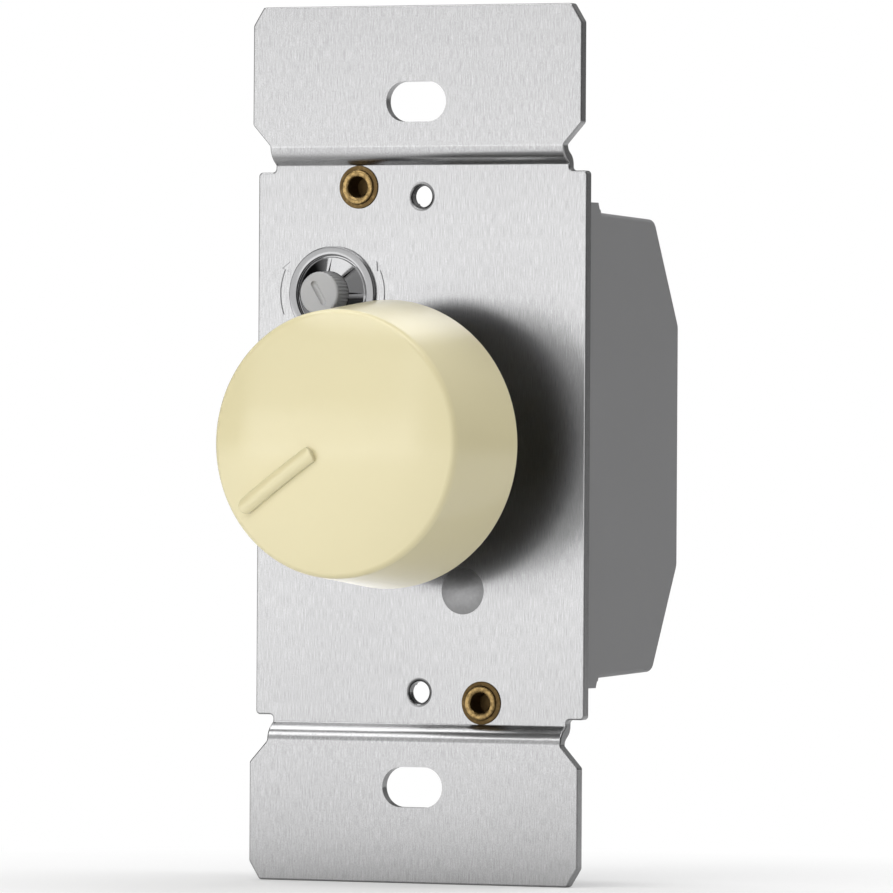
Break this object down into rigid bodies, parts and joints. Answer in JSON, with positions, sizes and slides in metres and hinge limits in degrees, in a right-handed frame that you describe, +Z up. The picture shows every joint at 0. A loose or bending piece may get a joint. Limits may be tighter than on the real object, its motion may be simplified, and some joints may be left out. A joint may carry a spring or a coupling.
{
  "type": "fan speed control switch",
  "caption": "Flush wall box fan speed control: pressed metal mounting yoke, round dial knob with pointer rib, screwdriver low speed trimmer and closed rear housing.",
  "frame": {"origin": "centre of the mounting plate's front face, on the knob's axis and midway between the two faceplate screw holes", "axes": "+X to the right seen from the front, +Y into the wall, +Z up; the front faces -Y"},
  "size_m": [0.0444, 0.0552, 0.1068],
  "materials": {
    "plate_metal": "brushed, pressed sheet",
    "housing_plastic": "moulded, fine texture",
    "rivet_brass": "rolled, slightly darkened",
    "rivet_metal": "matte",
    "knob_plastic": "ivory, moulded",
    "trimmer_plastic": "moulded",
    "ring_steel": "bright plated",
    "bushing_metal": "turned, plated",
    "nut_metal": "plated",
    "shaft_metal": "turned",
    "spring_steel": "bright strip",
    "case_plastic": "moulded",
    "carrier_plastic": "moulded",
    "track_board": "phenolic sheet",
    "contact_bronze": "pressed strip",
    "tinned_wire": "dull tinned",
    "pad_sheet": "thin silicone sheet",
    "tab_metal": "tinned copper",
    "epoxy_black": "moulded epoxy",
    "board_sheet": "phenolic board",
    "ferrite": "pressed ferrite",
    "copper_wire": "enamelled",
    "capacitor_plastic": "moulded box",
    "resistor_coat": "dipped",
    "diac_glass": "moulded"
  },
  "bodies": {
    "switch_frame": {"mounting_plate": "plate_metal", "rear_housing": "housing_plastic", "housing_rivets": "rivet_brass", "triac_rivet": "rivet_metal", "insulating_pad": "pad_sheet", "triac_tab": "tab_metal", "triac_case": "epoxy_black", "triac_leads": "tinned_wire", "control_bushing": "bushing_metal", "bushing_washer": "nut_metal", "bushing_nut": "nut_metal", "control_case": "case_plastic", "control_back_cover": "track_board", "track_wafer": "track_board", "control_terminals": "tinned_wire", "moving_contact": "contact_bronze", "fixed_contact": "contact_bronze", "trim_base": "case_plastic", "trim_cover": "carrier_plastic", "trim_terminals": "tinned_wire", "circuit_board": "board_sheet", "choke_core": "ferrite", "choke_winding": "copper_wire", "choke_leads": "tinned_wire", "filter_capacitor": "capacitor_plastic", "filter_capacitor_leads": "tinned_wire", "timing_capacitor": "capacitor_plastic", "timing_capacitor_leads": "tinned_wire", "resistors": "resistor_coat", "resistor_leads": "tinned_wire", "diac": "diac_glass", "diac_leads": "tinned_wire", "wire_clamps": "contact_bronze"},
    "shaft": {"control_shaft": "shaft_metal", "wiper_carrier": "carrier_plastic", "wiper": "contact_bronze"},
    "dial": {"knob": "knob_plastic", "knob_spring": "spring_steel"},
    "trimmer": {"trim_adjuster": "trimmer_plastic", "trim_ring": "ring_steel", "trim_wiper": "contact_bronze"}
  },
  "joints": [
    {"name": "knob_turn", "type": "hinge", "parent": "switch_frame", "child": "shaft", "pos_m": [0, 0, 0], "axis": [0, 1, 0], "range_deg": [0, 270]},
    {"name": "knob_pull", "type": "slide", "parent": "shaft", "child": "dial", "axis": [0, -1, 0], "range_m": [0, 0.013]},
    {"name": "trim_turn", "type": "hinge", "parent": "switch_frame", "child": "trimmer", "pos_m": [-0.01195, 0, 0.01835], "axis": [0, 1, 0], "range_deg": [-130, 130]}
  ]
}
